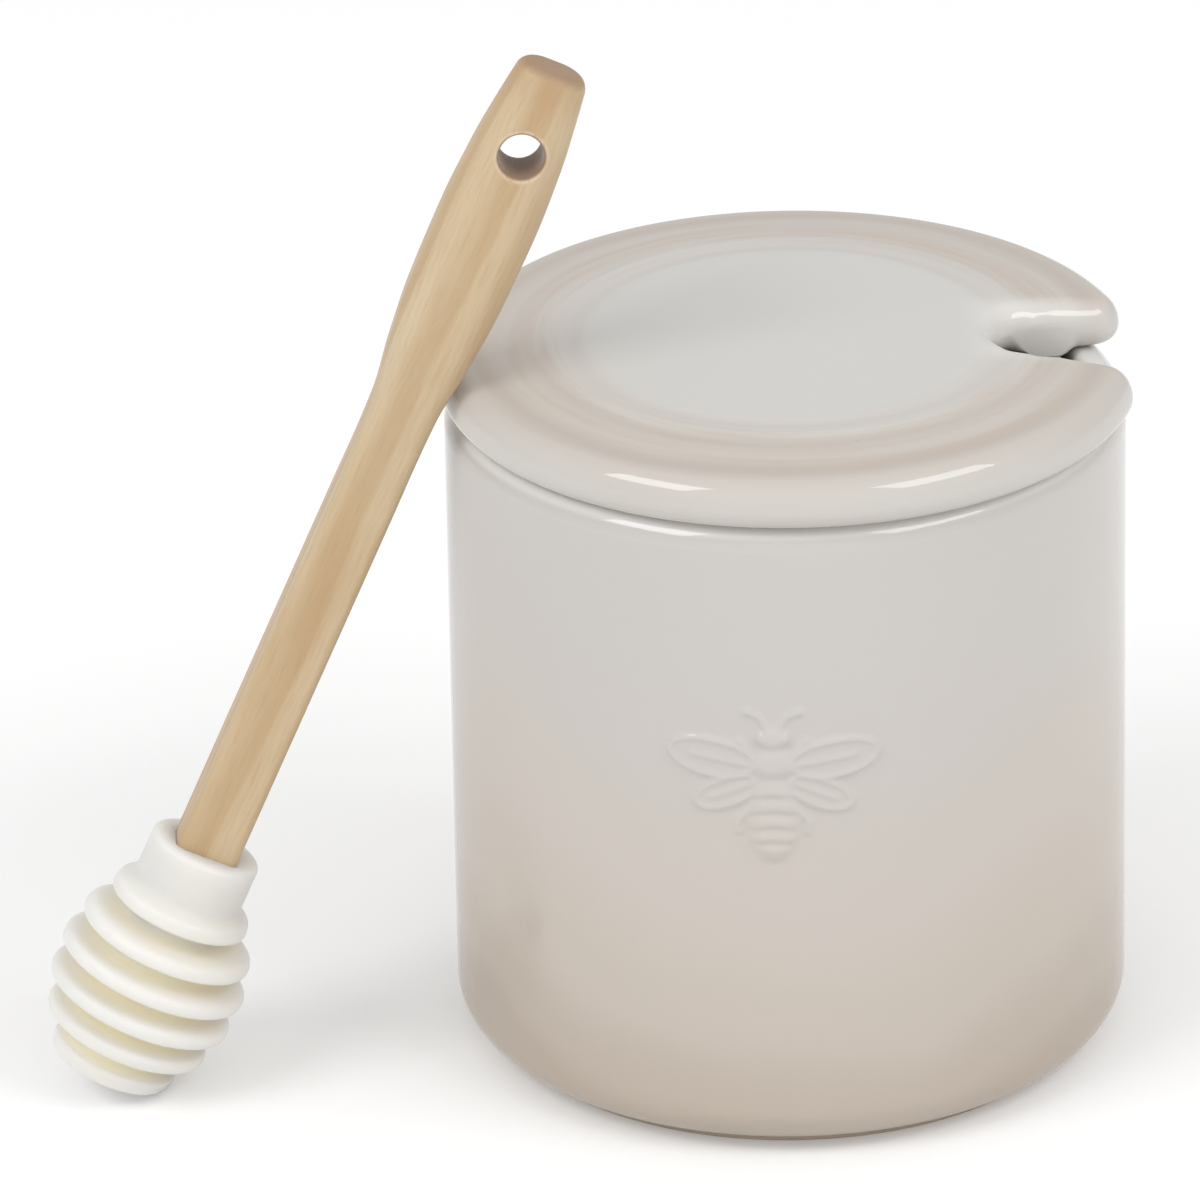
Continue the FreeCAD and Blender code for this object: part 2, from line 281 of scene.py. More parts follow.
def blend(tree, share, first, second):
    """Colour mixed from two others."""
    return add(tree, "ShaderNodeMix", {0: share, 6: first, 7: second}, data_type="RGBA").outputs[2]


def finish(name, inputs):
    """New material with a Principled shader of given inputs, as (material, tree, shader)."""
    material = bpy.data.materials.new(name)
    material.use_nodes = True
    tree = material.node_tree
    tree.nodes.clear()
    shader = add(tree, "ShaderNodeBsdfPrincipled", inputs)
    add(tree, "ShaderNodeOutputMaterial", {"Surface": shader.outputs["BSDF"]})
    return material, tree, shader


def dress(tree, shader, tone, roughness, relief, strength, depth):
    """Gives a shader its tone, its gloss and a fine relief of a depth in millimetres."""
    bump = add(tree, "ShaderNodeBump", {"Strength": strength, "Distance": depth * mm, "Height": relief})
    tree.links.new(tone, shader.inputs["Base Color"])
    tree.links.new(roughness, shader.inputs["Roughness"])
    tree.links.new(bump.outputs["Normal"], shader.inputs["Normal"])


def new_group(name, kind, inputs, outputs):
    """New node group, as (group, inputs node, outputs node), from the names and types of its sockets."""
    group = bpy.data.node_groups.new(name, kind)
    for side, sockets in (("OUTPUT", outputs), ("INPUT", inputs)):
        for label, socket_type in sockets.items():
            group.interface.new_socket(name=label, in_out=side, socket_type="NodeSocket" + socket_type)
    return group, group.nodes.new("NodeGroupInput"), group.nodes.new("NodeGroupOutput")


def make_glaze_character():
    """What any fired glaze shows: clouds in its tone, a few iron specks and a faint orange-peel ripple."""
    group, given, result = new_group(
        "glaze character", "ShaderNodeTree",
        {"Vector": "Vector", "Cloud Scale": "Float", "Speck Scale": "Float"},
        {"Cloud": "Float", "Speck": "Float", "Ripple": "Float"})
    place = given.outputs["Vector"]
    cells = add(group, "ShaderNodeTexVoronoi", {"Vector": place, "Scale": given.outputs["Speck Scale"]})
    lot = add(group, "ShaderNodeSeparateColor", {"Color": cells.outputs["Color"]}).outputs[0]
    chosen = calc(group, "GREATER_THAN", lot, 0.93)
    dot = spread(group, cells.outputs["Distance"], 0.015, 0.04, 1.0, 0.0, soft=True)
    for name, value in (
            ("Cloud", noise(group, place, given.outputs["Cloud Scale"], 3.0)),
            ("Speck", times(group, chosen, dot)),
            ("Ripple", noise(group, place, 160.0, 2.0, 0.4))):
        group.links.new(value, result.inputs[name])
    return group


glaze_character = make_glaze_character()


def glaze_marks(tree, place, cloud_scale):
    """Outputs of the glaze character in a material."""
    return add(tree, "ShaderNodeGroup", {
        "Vector": place, "Cloud Scale": cloud_scale, "Speck Scale": 90.0}, node_tree=glaze_character).outputs


def specked(tree, tone, marks):
    """Glaze tone with its iron specks."""
    return blend(tree, times(tree, marks["Speck"], 0.25), tone, paint(128, 110, 92))


def make_crock_glaze():
    """Glossy off-white glaze that warms and deepens towards the heel, bare biscuit on the foot ring."""
    material, tree, shader = finish("crock_glaze", {"IOR": glaze_ior})
    place = object_place(tree)
    marks = glaze_marks(tree, place, 22.0)
    parts = parts_of(tree, place)
    height = parts["Z"]
    cloud_drift = calc(tree, "MULTIPLY_ADD", marks["Cloud"], 16.0 * mm, -8.0 * mm)
    # Painted shade: the glaze turns darker and warmer towards its left and right sides (along X), where less
    # light falls.
    painted_side_shade = spread(tree, calc(tree, "ABSOLUTE", parts["X"]), 0.3 * pot_radius * mm, pot_radius * mm,
                        0.0, -12.0 * mm, soft=True)
    drift = calc(tree, "ADD", cloud_drift, painted_side_shade)
    level = spread(tree, calc(tree, "ADD", height, drift), 0.0, 105.0 * mm)
    tone = colours(tree, level, (
        (0.0, paint(182, 169, 155)),
        (0.08, paint(190, 178, 165)),
        (0.22, paint(200, 190, 179)),
        (0.42, paint(204, 196, 188)),
        (0.62, paint(203, 198, 193)),
        (1.0, paint(203, 200, 196)),
    ))
    # Painted light: a pale band just under the top of the rim lifts the shade that falls under the lid's
    # overhang.
    rim = spread(tree, height, (pot_height - 2.2) * mm, (pot_height - 1.3) * mm, 0.0, 0.8, soft=True)
    tone = blend(tree, rim, tone, paint(230, 228, 225))
    tone = blend(tree, spread(tree, marks["Cloud"], 0.3, 0.7, 0.0, 0.03), tone, paint(170, 160, 148))
    tone = specked(tree, tone, marks)
    bare = spread(tree, height, 0.35 * mm, 0.75 * mm, 1.0, 0.0, soft=True)
    tone = blend(tree, bare, tone, paint(196, 178, 156))
    roughness = spread(tree, bare, 0.0, 1.0, 0.05, 0.75)
    dress(tree, shader, tone, roughness, marks["Ripple"], 0.25, 0.05)
    return material


crock = make_crock()
crock.data.materials.append(make_crock_glaze())
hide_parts("pot")
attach(crock, "pot")


# Lid: a thick stoneware disc that lies loose on the crock's rim, located by a flange below. It is pressed and
# turned, with shallow rings round the flat middle of its top and a U notch for the dipper's handle, and
# dipped in the same glaze, which pools warm and thin over the outer rings.
lid_radius = pot_radius + 1.3
lid_shift = 0.8
lid_bearing = math.radians(2.5)
lid_top_round = 3.5
lid_top_drop = 4.3
lid_under_round = 2.77
notch_top_round = 3.6
notch_under_round = 3.6
flange_under_round = 0.3
flange_under_span = 2.4, 5.6
lid_hollow = 1.2
notch_half = 7.4
notch_depth = 21.3
notch_end = lid_radius - notch_depth + notch_half
notch_flare = math.radians(12)
notch_mouth = 4.55
lid_top_places = (0.0, 28.8, 30.0, 31.0, 32.3, 33.8, 35.0, 36.2, 37.4, 38.5, 39.8, 41.0, 42.4,
                  44.0, 46.0, 47.8, 51.4)
lid_top_heights = (8.7, 8.7, 8.73, 8.62, 8.5, 8.57, 8.59, 8.44, 8.29, 8.29, 8.3, 8.15, 7.97,
                   7.79, 7.6, 7.46, 7.3)
flange_outer = 40.6
flange_inner = 36.6
flange_depth = 5.5
flange_taper = 0.6
flange_root_round = 2.4
flange_edge = 1.2
flange_setback = 0.12
flange_wing = 3.4
flange_wing_span = 2.0, 4.4
flange_let_in = 2.4
plan_clearance = 0.45


def fair(value, places, heights):
    """Smooth curve through points that doesn't overshoot them."""
    places, heights = np.asarray(places, float), np.asarray(heights, float)
    steps = np.diff(places)
    slopes = np.diff(heights) / steps
    bends = np.zeros_like(places)
    bends[0], bends[-1] = slopes[0], slopes[-1]
    same = slopes[:-1] * slopes[1:] > 0
    first, second = 2 * steps[1:] + steps[:-1], steps[1:] + 2 * steps[:-1]
    with np.errstate(divide="ignore", invalid="ignore"):
        mean = (first + second) / (first / slopes[:-1] + second / slopes[1:])
    bends[1:-1] = np.where(same, mean, 0.0)
    value = np.clip(np.asarray(value, float), places[0], places[-1])
    cell = np.clip(np.searchsorted(places, value, side="right") - 1, 0, len(steps) - 1)
    share = (value - places[cell]) / steps[cell]
    before, after = (1 + 2 * share) * (1 - share) ** 2, share ** 2 * (3 - 2 * share)
    bend = bends[cell] * (1 - share) - bends[cell + 1] * share
    return heights[cell] * before + heights[cell + 1] * after + steps[cell] * share * (1 - share) * bend


def notch_turn(radius, beyond):
    """Angle from the notch's middle to a line beyond its side, on a circle round the lid's axis."""
    return notch_flare + np.arcsin((notch_half + beyond - notch_end * math.sin(notch_flare)) / radius)


def lid_outline():
    """Points of the lid's plan, the direction into the lid at each, and its share in the notch's edge."""
    mouth_reach = lid_radius - notch_mouth
    mouth_turn = float(notch_turn(mouth_reach, notch_mouth))
    mouth_x, mouth_y = mouth_reach * math.cos(mouth_turn), mouth_reach * math.sin(mouth_turn)
    lean_x, lean_y = math.sin(notch_flare), math.cos(notch_flare)
    end_corner = notch_end - notch_half * lean_x, notch_half * lean_y
    mouth_corner = mouth_x + notch_mouth * lean_x, mouth_y - notch_mouth * lean_y
    points, inward, at_notch = [], [], []

    def side(first, last, hand):
        for share in np.linspace(0, 1, 22)[:-1]:
            x, y = (a + (b - a) * share for a, b in zip(first, last))
            points.append((x, hand * y))
            inward.append((-lean_x, hand * lean_y))
            at_notch.append(1.0)

    def arc(middle_x, middle_y, radius, first, last, count, into, first_share, last_share):
        for share in np.linspace(0, 1, count + 1)[:-1]:
            turn = first + (last - first) * share
            points.append((middle_x + radius * math.cos(turn), middle_y + radius * math.sin(turn)))
            inward.append((into * math.cos(turn), into * math.sin(turn)))
            at_notch.append(first_share + (last_share - first_share) * ease(share, 0, 1))

    side(end_corner, mouth_corner, 1)
    arc(mouth_x, mouth_y, notch_mouth, notch_flare - math.pi / 2, mouth_turn, 26, -1.0, 1, 0)
    arc(0, 0, lid_radius, mouth_turn, 2 * math.pi - mouth_turn, 400, -1.0, 0, 0)
    arc(mouth_x, -mouth_y, notch_mouth, -mouth_turn, math.pi / 2 - notch_flare, 26, -1.0, 0, 1)
    side(mouth_corner, end_corner, -1)
    arc(notch_end, 0, notch_half, 1.5 * math.pi - notch_flare, 0.5 * math.pi + notch_flare, 44, 1.0, 1, 1)
    return np.array(points), np.array(inward), np.array(at_notch)


def top_height(radius):
    """Height of the lid's ringed top above its seat."""
    return fair(radius, lid_top_places, lid_top_heights)


def under_height(radius):
    """Height of the lid's underside above its seat, raised inside the flange."""
    return lid_hollow * (1 - ease(radius, flange_inner - 0.7, flange_inner))


def ring_points(rings):
    """Points on circles of (radius, count)."""
    points = []
    for radius, count in rings:
        for turn in np.arange(count) * 2 * math.pi / count:
            points.append((radius * math.cos(turn), radius * math.sin(turn)))
    return np.array(points)


def filled_plan(border, spare):
    """Triangles of a plan inside its border, through those of the spare points that keep clear of it."""
    x, y = spare.T
    nearest, inside = np.full(len(spare), np.inf), np.zeros(len(spare), bool)
    for (ax, ay), (bx, by) in zip(border, np.roll(border, -1, axis=0)):
        nearest = np.minimum(nearest, np.hypot(x - ax, y - ay))
        if ay != by:
            inside ^= ((ay > y) != (by > y)) & (x < (bx - ax) * (y - ay) / (by - ay) + ax)
    places = np.concatenate([border, spare[inside & (nearest > plan_clearance)]])
    loop = [(i, (i + 1) % len(border)) for i in range(len(border))]
    corners, _, triangles, _, _, _ = delaunay_2d_cdt([Vector(p) for p in places], loop, [], 1, 1e-6)
    return np.array([tuple(c) for c in corners]), [tuple(t) for t in triangles]


def with_patch(points, faces, patch, triangles):
    """Points and faces of a shell with a patch of triangles added."""
    start = len(points)
    return np.concatenate([points, patch]), faces + [tuple(start + i for i in t) for t in triangles]


def make_plate():
    """Notched plate of the lid on its seat, with its ringed top and rounded edges."""
    outline, inward, at_notch = lid_outline()
    top_round = lid_top_round + (notch_top_round - lid_top_round) * at_notch
    top_drop = lid_top_drop + (notch_top_round - lid_top_drop) * at_notch
    off_flange = np.abs(np.hypot(*outline.T) - (flange_inner + flange_outer) / 2)
    notch_under = flange_under_round + (notch_under_round - flange_under_round) * ease(
        off_flange, *flange_under_span)
    under_round = lid_under_round + (notch_under - lid_under_round) * at_notch
    rows = []
    for turn in np.radians(np.linspace(90, 0, 15)):
        place = outline + inward * (top_round * (1 - math.cos(turn)))[:, None]
        height = top_height(np.hypot(*place.T)) - top_drop * (1 - math.sin(turn))
        rows.append(np.column_stack([place, height]))
    for turn in np.radians(np.linspace(0, 90, 11)):
        place = outline + inward * (under_round * (1 - math.cos(turn)))[:, None]
        height = under_height(np.hypot(*place.T)) + under_round * (1 - math.sin(turn))
        rows.append(np.column_stack([place, height]))
    points = np.concatenate(rows)
    faces = turned_faces(len(rows), len(outline))
    top_rings = [(r, 72) for r in (4.0, 9.0, 14.0, 19.0, 24.0, 28.0)]
    top_rings += [(r, 216) for r in np.arange(30.0, 47.9, 0.36)]
    under_rings = [(r, 96) for r in (6.0, 14.0, 22.0, 30.0)]
    under_rings += [(flange_inner + r, 180) for r in (-0.9, -0.7, -0.5, -0.35, -0.2, 0.0, 0.2, 2.8, 5.8, 8.8)]
    for border, rings, height_at in ((rows[0], top_rings, top_height), (rows[-1], under_rings, under_height)):
        plan, triangles = filled_plan(border[:, :2], ring_points(rings))
        patch = np.column_stack([plan, height_at(np.hypot(*plan.T))])
        points, faces = with_patch(points, faces, patch, triangles)
    return solid_piece("lid", points, faces)


def make_flange():
    """Tapered ring below the plate, let into it, with a round root and rounded ends at the notch."""
    inner_root = flange_inner - flange_root_round
    outer_root = flange_outer + flange_taper + flange_root_round
    section = [(r, flange_let_in) for r in np.linspace(inner_root, outer_root, 12)] + [(outer_root, 0.1)]
    section += quarter(outer_root, -flange_root_round, flange_root_round, 95, 180, 8)
    section += quarter(flange_outer - flange_edge, flange_edge - flange_depth, flange_edge, 0, -90, 6)
    section += quarter(flange_inner + flange_edge, flange_edge - flange_depth, flange_edge, 270, 180, 6)
    section += quarter(inner_root, lid_hollow - flange_root_round, flange_root_round, 0, 85, 8)
    section = np.array(section)
    middle = np.array([(flange_inner + flange_outer) / 2, flange_let_in])
    ends = [(0.0, 0.9), (0.15, 0.95), (0.4, 0.985), (0.8, 1.0)]

    def end_turn(r, beyond):
        wing = flange_wing * ease(np.abs(r - middle[0]), *flange_wing_span)
        return notch_turn(r, flange_setback + wing + beyond)

    def ring(share, beyond, grow):
        r, z = (middle + (section - middle) * grow).T
        first = end_turn(r, beyond)
        turn = first + (2 * math.pi - 2 * first) * share
        return np.column_stack([r * np.cos(turn), r * np.sin(turn), z])

    rows = [ring(0.0, beyond, grow) for beyond, grow in ends]
    rows += [ring(share, *ends[-1]) for share in np.linspace(0, 1, 150)[1:-1]]
    rows += [ring(1.0, beyond, grow) for beyond, grow in reversed(ends)]
    points = np.concatenate(rows)
    faces = turned_faces(len(rows), len(section))
    spacing = 0.55
    grid = np.array([(r, z) for r in np.arange(inner_root, outer_root, spacing)
                     for z in np.arange(-5.2, flange_let_in, spacing)])
    plan, triangles = filled_plan(middle + (section - middle) * ends[0][1], grid)
    for hand in (1, -1):
        turn = hand * end_turn(plan[:, 0], 0.0)
        patch = np.column_stack([plan[:, 0] * np.cos(turn), plan[:, 0] * np.sin(turn), plan[:, 1]])
        points, faces = with_patch(points, faces, patch, triangles)
    return solid_piece("lid_flange", points, faces)


def keep_shape(piece, modifier):
    """Keeps what a modifier makes of a piece as its plain mesh."""
    shaped = bpy.data.meshes.new_from_object(piece.evaluated_get(bpy.context.evaluated_depsgraph_get()))
    piece.modifiers.remove(modifier)
    plain = piece.data
    piece.data = shaped
    bpy.data.meshes.remove(plain)


def carve(piece, tool, operation):
    """Joins a tool shape to a piece or cuts it away, and removes the tool."""
    modifier = piece.modifiers.new("shape", "BOOLEAN")
    modifier.object, modifier.operation, modifier.solver = tool, operation, "EXACT"
    keep_shape(piece, modifier)
    tool_mesh = tool.data
    bpy.data.objects.remove(tool)
    bpy.data.meshes.remove(tool_mesh)


def make_lid():
    """Plate and flange in one, turned and laid on the crock's rim."""
    lid = make_plate()
    carve(lid, make_flange(), "UNION")
    lid.name = lid.data.name = "lid_with_notch"
    lid.data.transform(
        Matrix.Translation((0, 0, pot_height * mm)) @ Matrix.Rotation(lid_bearing, 4, "Z")
        @ Matrix.Translation((lid_shift * mm, 0, 0)))
    return lid


def vector_of(tree, x, y, z=0.0):
    """Vector joined from its parts."""
    return add(tree, "ShaderNodeCombineXYZ", {"X": x, "Y": y, "Z": z}).outputs["Vector"]


def length_of(tree, vector):
    """Length of a vector."""
    return add(tree, "ShaderNodeVectorMath", {0: vector}, operation="LENGTH").outputs["Value"]


def make_lid_glaze():
    """Crock's glaze, whiter in the middle, with warm brushed bands over the rings and a pale thick edge."""
    material, tree, shader = finish("lid_glaze", {"IOR": glaze_ior})
    place = object_place(tree)
    marks = glaze_marks(tree, place, 26.0)
    middle = (lid_shift * mm * math.cos(lid_bearing), lid_shift * mm * math.sin(lid_bearing), 0.0)
    centred = add(tree, "ShaderNodeMapping", {
        "Vector": place, "Location": middle, "Rotation": (0, 0, lid_bearing)}, vector_type="TEXTURE")
    parts = parts_of(tree, centred.outputs["Vector"])
    flat = vector_of(tree, parts["X"], parts["Y"])
    radius = length_of(tree, flat)
    outward = add(tree, "ShaderNodeVectorMath", {0: flat}, operation="NORMALIZE").outputs["Vector"]
    bearing = parts_of(tree, outward)
    brushed = vector_of(tree, bearing["X"], bearing["Y"], times(tree, radius, 560.0))
    streak = noise(tree, brushed, 1.0, 3.0, 0.55)
    drift = calc(tree, "MULTIPLY_ADD", marks["Cloud"], 3.0 * mm, -1.5 * mm)
    level = spread(tree, calc(tree, "ADD", radius, drift), 0.0, 52.0 * mm)
    tone = colours(tree, level, (
        (0.0, paint(210, 209, 205)),
        (0.55, paint(210, 208, 204)),
        (0.615, paint(206, 201, 196)),
        (0.68, paint(207, 202, 197)),
        (0.75, paint(199, 191, 183)),
        (0.82, paint(202, 195, 187)),
        (0.885, paint(192, 183, 174)),
        (0.945, paint(201, 194, 187)),
        (1.0, paint(206, 202, 197)),
    ))
    band = times(tree, spread(tree, radius, 31.0 * mm, 38.0 * mm, soft=True),
                 spread(tree, radius, 46.0 * mm, 50.0 * mm, 1.0, 0.0, soft=True))
    warm = times(tree, band, spread(tree, streak, 0.4, 0.7, 0.0, 0.5, soft=True))
    tone = blend(tree, warm, tone, paint(194, 179, 164))
    # Near the notch the warm bands give way to a tone paler than the rest of the glaze: partly the glaze's
    # own colour on the notch walls, partly painted light that lifts the shade inside the notch.
    beside = spread(tree, calc(tree, "ABSOLUTE", parts["Y"]), 7.5 * mm, 13.0 * mm, 1.0, 0.0, soft=True)
    at_notch = times(tree, beside, spread(tree, parts["X"], 24.0 * mm, 31.0 * mm, soft=True))
    tone = blend(tree, times(tree, at_notch, 0.85), tone, paint(221, 218, 214))
    tone = specked(tree, tone, marks)
    roughness = spread(tree, marks["Cloud"], 0.3, 0.7, 0.045, 0.065)
    dress(tree, shader, tone, roughness, marks["Ripple"], 0.25, 0.05)
    return material


lid = make_lid()
lid.data.materials.clear()
lid.data.materials.append(make_lid_glaze())
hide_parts("lid")
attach(lid, "lid")


# Dipper head: one soft moulding of warm white silicone, six round fins on a core with a shallow domed tip and
# a collar, whose oblong socket is pushed over the end of the wooden handle and grips it.
fin_radius = 14.3
fin_shares = (0.652, 0.868, 0.985, 1.0, 0.916, 0.733)
fin_pitch = 5.4
fin_rim = 1.35
rim_fullness = 0.06
fin_rows = 40
fin_columns = 144
groove_depth = 5.1
cap_dome = 0.9
core_least = 6.77
collar_radius = 8.37
collar_round = 0.9
neck_length = 9.8
flare_rise = 2.2
flare_start = 68.0
flare_bend = 2.2
shaft_width = 9.4
shaft_thickness = 8.4
shaft_corner = 1.344
socket_clearance = 0.12
socket_depth = 18.0
cap_height = cap_dome + fin_rim
collar_height = cap_height + fin_pitch * (len(fin_shares) - 1) + neck_length
handle_length = 130.8
hole_from_end = 13.0

pull = next(j for j in frame["record"]["behaviour"]["joints"] if j["name"] == "handle_pull")
hole_mount = next(m for m in frame["record"]["mounts"] if m["name"] == "hanging_hole")
dipper_axis = Vector(pull["axis"]).normalized()
flat_side = -Vector(hole_mount["axis"])
flat_side = (flat_side - dipper_axis * flat_side.dot(dipper_axis)).normalized()
broad_side = flat_side.cross(dipper_axis)
dipper_tip = Vector(hole_mount["pos_m"]) - dipper_axis * (collar_height + handle_length - hole_from_end) * mm
dipper_turn = Matrix((broad_side, flat_side, dipper_axis)).transposed().to_4x4()
dipper_stand = Matrix.Translation(dipper_tip) @ dipper_turn


def make_fin_tree():
    """Geometry Nodes tree of the fins: a grid rolled round the axis, its radius waving once for each fin."""
    tree, given, result = new_group("dipper fins", "GeometryNodeTree", {
        "Fins": "Int", "Fin Pitch": "Float", "Widest Radius": "Float", "Groove Depth": "Float",
        "Least Core Radius": "Float", "Rim Fullness": "Float", "First Height": "Float",
        "Rows": "Int", "Around": "Int", "Silicone": "Material"}, {"Geometry": "Geometry"})
    put = given.outputs
    grid = add(tree, "GeometryNodeMeshGrid", {"Vertices X": put["Rows"], "Vertices Y": put["Around"]})
    place = parts_of(tree, add(tree, "GeometryNodeInputPosition").outputs[0])
    share = calc(tree, "ADD", place["X"], 0.5)
    turn = times(tree, calc(tree, "ADD", place["Y"], 0.5), 2 * math.pi)
    along = times(tree, share, calc(tree, "SUBTRACT", put["Fins"], 1.0))
    phase = times(tree, along, 2 * math.pi)
    fuller = times(tree, put["Rim Fullness"], calc(tree, "COSINE", times(tree, phase, 3.0)))
    plain = times(tree, calc(tree, "COSINE", phase), calc(tree, "ADD", put["Rim Fullness"], 1.0))
    wave = calc(tree, "SUBTRACT", plain, fuller)
    belly = add(tree, "ShaderNodeFloatCurve", {"Value": share})
    curve = belly.mapping.curves[0]
    curve.points[0].location = (0.0, fin_shares[0])
    curve.points[1].location = (1.0, fin_shares[-1])
    for number, rim in enumerate(fin_shares[1:-1], 1):
        curve.points.new(number / (len(fin_shares) - 1), rim)
    belly.mapping.update()
    widest = times(tree, belly.outputs[0], put["Widest Radius"])
    hollowed = calc(tree, "SUBTRACT", widest, put["Groove Depth"])
    core = calc(tree, "MAXIMUM", hollowed, put["Least Core Radius"])
    middle = times(tree, calc(tree, "ADD", widest, core), 0.5)
    swing = times(tree, calc(tree, "SUBTRACT", widest, core), 0.5)
    radius = calc(tree, "MULTIPLY_ADD", swing, wave, middle)
    sway = calc(tree, "SINE", times(tree, phase, 2.0))
    crowded = calc(tree, "ADD", along, times(tree, sway, 0.25 / math.pi))
    height = calc(tree, "MULTIPLY_ADD", crowded, put["Fin Pitch"], put["First Height"])
    spot = vector_of(tree, times(tree, radius, calc(tree, "COSINE", turn)),
                     times(tree, radius, calc(tree, "SINE", turn)), height)
    groove = calc(tree, "MULTIPLY_ADD", wave, -0.5, 0.5)
    shape = grid.outputs["Mesh"]
    for kind, inputs in (
            ("GeometryNodeStoreNamedAttribute", {"Name": "groove", "Value": groove}),
            ("GeometryNodeSetPosition", {"Position": spot}),
            ("GeometryNodeMergeByDistance", {"Distance": 0.001 * mm}),
            ("GeometryNodeSetShadeSmooth", {}),
            ("GeometryNodeRealizeInstances", {}),
            ("GeometryNodeSetMaterial", {"Material": put["Silicone"]})):
        shape = add(tree, kind, {"Geometry": shape, **inputs}).outputs[0]
    tree.links.new(shape, result.inputs["Geometry"])
    return tree


def grown(piece, tree, values):
    """Runs a Geometry Nodes tree on a piece with its named values and keeps the result as a plain mesh."""
    modifier = piece.modifiers.new("shape", "NODES")
    modifier.node_group = tree
    for socket in tree.interface.items_tree:
        if socket.item_type == "SOCKET" and socket.in_out == "INPUT":
            modifier[socket.identifier] = values[socket.name]
    keep_shape(piece, modifier)


def oblong_reach(width, thickness, corner):
    """Distance from the middle to the edge of a round-cornered oblong, for an angle about its axis."""
    def reach(turn):
        c, s = abs(math.cos(turn)), abs(math.sin(turn))
        core_x, core_y = width / 2 - corner, thickness / 2 - corner
        if c > 1e-9 and s / c * width / 2 <= core_y:
            return width / 2 / c
        if s > 1e-9 and c / s * thickness / 2 <= core_x:
            return thickness / 2 / s
        along = core_x * c + core_y * s
        return along + math.sqrt(max(0.0, along * along - core_x ** 2 - core_y ** 2 + corner ** 2))
    return reach


def next_ring(shell, ring, reach, height):
    """Draws a closed ring of edges on to a new height, at a reach from the axis that may follow the angle."""
    drawn = bmesh.ops.extrude_edge_only(shell, edges=ring)["geom"]
    corners = {e for e in drawn if isinstance(e, bmesh.types.BMVert)}
    for corner in corners:
        turn = math.atan2(corner.co.y, corner.co.x)
        away = (reach(turn) if callable(reach) else reach) * mm
        corner.co = (away * math.cos(turn), away * math.sin(turn), height * mm)
    return [e for e in drawn if isinstance(e, bmesh.types.BMEdge) and all(v in corners for v in e.verts)]


def close_ring(shell, ring, height):
    """Closes a ring with a fan of faces to a point on the axis."""
    pole = shell.verts.new((0, 0, height * mm))
    for edge in ring:
        shell.faces.new((*edge.verts, pole))


def make_silicone():
    """Matt warm white silicone, a little translucent, with painted light in the grooves: a paler, creamier
    tone.
    """
    material, tree, shader = finish("silicone", {
        "IOR": 1.41, "Subsurface Weight": 1.0, "Subsurface Radius": (1.0, 0.9, 0.7),
        "Subsurface Scale": 7.0 * mm})
    place = object_place(tree)
    groove = add(tree, "ShaderNodeAttribute", attribute_name="groove").outputs["Fac"]
    mottle = noise(tree, place, 90.0, 2.0)
    skin = noise(tree, place, 2600.0, 2.0, 0.6)
    # Painted light: the grooves get a paler, creamier tone that stands in for light glowing through the
    # silicone and lifts their shade.
    tone = blend(tree, spread(tree, groove, 0.1, 0.95, soft=True), paint(228, 226, 221), paint(250, 242, 224))
    tone = blend(tree, spread(tree, mottle, 0.35, 0.7, 0.0, 0.12), tone, paint(221, 214, 200))
    dress(tree, shader, tone, spread(tree, mottle, 0.3, 0.7, 0.4, 0.52), skin, 0.2, 0.03)
    return material


